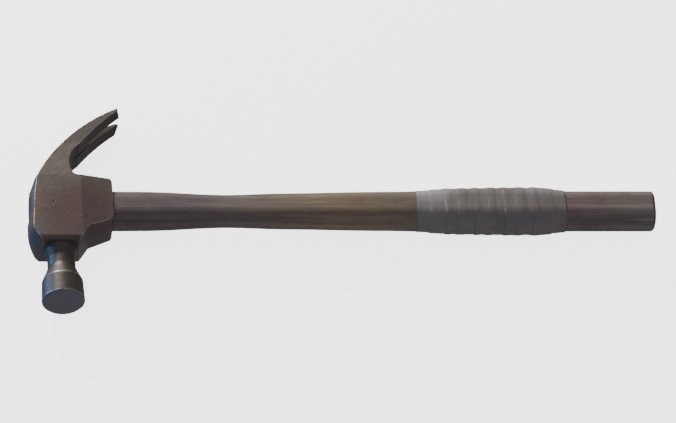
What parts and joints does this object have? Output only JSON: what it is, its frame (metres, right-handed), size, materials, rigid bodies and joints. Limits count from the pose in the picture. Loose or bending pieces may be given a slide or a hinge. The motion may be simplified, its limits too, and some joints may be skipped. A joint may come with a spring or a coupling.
{
  "type": "claw hammer",
  "caption": "Carpenter's claw hammer with a round face, curved split claw, wedged wooden handle and cloth tape wound round the grip.",
  "frame": {"origin": "on the lower cheek of the head, straight under the point where the handle's axis crosses the poll's axis", "axes": "+X along the handle from head to butt, -Y the way the striking face looks, so the claw is towards +Y, +Z out of the upper cheek"},
  "size_m": [0.404, 0.1437, 0.028],
  "materials": {
    "head_steel": "forged steel with a dark satin patina, worn bright along its edges",
    "handle_wood": "old hickory, darkened by handling, with fine open grain",
    "wedge_wood": "hardwood, end grain showing",
    "wedge_steel": "mild steel, dull and slightly rusted",
    "tape_cloth": "grey cotton cloth tape, scuffed and creased"
  },
  "bodies": {
    "root": {"hammer_head": "head_steel", "handle": "handle_wood", "wooden_wedge": "wedge_wood", "steel_wedge_claw_side": "wedge_steel", "steel_wedge_face_side": "wedge_steel", "grip_tape": "tape_cloth"}
  },
  "joints": []
}
